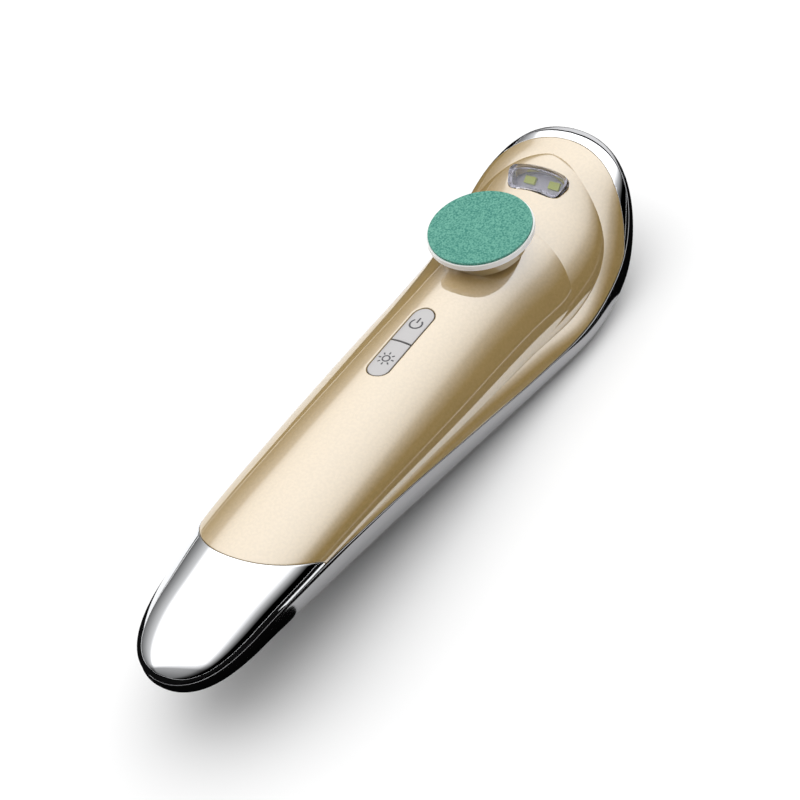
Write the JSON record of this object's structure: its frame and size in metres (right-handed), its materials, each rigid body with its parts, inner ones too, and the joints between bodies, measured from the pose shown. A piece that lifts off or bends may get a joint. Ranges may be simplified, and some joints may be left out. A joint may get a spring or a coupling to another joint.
{
  "type": "electric callus remover",
  "caption": "Hand-held curved body with a spinning round abrasive disc on its face, a lamp beside the disc and a pill-shaped pair of buttons.",
  "frame": {"origin": "middle of the bounding box at the height of the flat belly the body rests on", "axes": "+X along the body from the tail to the lamp end, +Y to the left seen from the tail, +Z out of the face that carries the disc"},
  "size_m": [0.1702, 0.0486, 0.0316],
  "materials": {
    "shell_chrome": "grey metallised plastic, polished",
    "cover_gold": "champagne gold metallic lacquer, glossy",
    "trim_chrome": "bright chrome plate, mirror polished",
    "collar_gold": "champagne gold lacquer on moulded plastic, satin gloss",
    "lens_clear": "clear moulded plastic, polished",
    "tray_plastic": "moulded grey plastic, matte",
    "board_white": "white solder mask, satin",
    "chip_yellow": "yellow phosphor chips, matte",
    "button_silver": "pearl silver lacquer, satin gloss",
    "moulded_black": "moulded black plastic, matte",
    "board_green": "green solder mask, satin",
    "screw_steel": "zinc plated steel",
    "can_steel": "plated drawn steel",
    "spindle_brass": "turned brass",
    "seal_rubber": "moulded rubber, matte",
    "disc_white": "moulded white plastic, satin",
    "pad_abrasive": "teal abrasive grit, coarse and matte",
    "cell_sleeve": "blue printed sleeve, glossy",
    "contact_plated": "nickel plated spring steel"
  },
  "bodies": {
    "root": {"lower_shell": "shell_chrome", "top_cover": "cover_gold", "nose_cap": "trim_chrome", "head_trim": "trim_chrome", "head_collar": "collar_gold", "lamp_lens": "lens_clear", "lamp_reflector": "tray_plastic", "lamp_board": "board_white", "lamp_chips": "chip_yellow", "power_switch": "moulded_black", "lamp_switch": "moulded_black", "control_board": "board_green", "board_screws": "screw_steel", "motor_end_cap": "moulded_black", "motor_can": "can_steel", "motor_bracket": "can_steel", "bracket_screws": "screw_steel", "spindle_bush": "spindle_brass", "dust_seal": "seal_rubber", "battery_tray": "tray_plastic", "battery_cell_left": "cell_sleeve", "battery_cell_right": "cell_sleeve", "contact_bridge": "contact_plated", "contact_leaves": "contact_plated", "shell_screws": "screw_steel"},
    "spindle": {"motor_shaft": "screw_steel", "drive_spindle": "spindle_brass"},
    "sanding_head": {"backing_disc": "disc_white", "sanding_pad": "pad_abrasive"},
    "power_button": {"power_button": "button_silver"},
    "lamp_button": {"lamp_button": "button_silver"},
    "battery_door": {"battery_door": "shell_chrome"}
  },
  "joints": [
    {"name": "spindle_spin", "type": "hinge", "parent": "root", "child": "spindle", "pos_m": [0.0431, 0, 0.0256], "axis": [0, 0, 1], "continuous": true},
    {"name": "disc_pull_off", "type": "slide", "parent": "spindle", "child": "sanding_head", "axis": [0, 0, 1], "range_m": [0, 0.008]},
    {"name": "power_press", "type": "slide", "parent": "root", "child": "power_button", "axis": [0, 0, -1], "range_m": [0, 0.0006], "stiffness_N_per_m": 1500},
    {"name": "lamp_press", "type": "slide", "parent": "root", "child": "lamp_button", "axis": [0, 0, -1], "range_m": [0, 0.0006], "stiffness_N_per_m": 1500},
    {"name": "door_hinge", "type": "hinge", "parent": "root", "child": "battery_door", "pos_m": [-0.04745, 0, 0.00783], "axis": [0, 1, 0], "range_deg": [0, 30]}
  ]
}
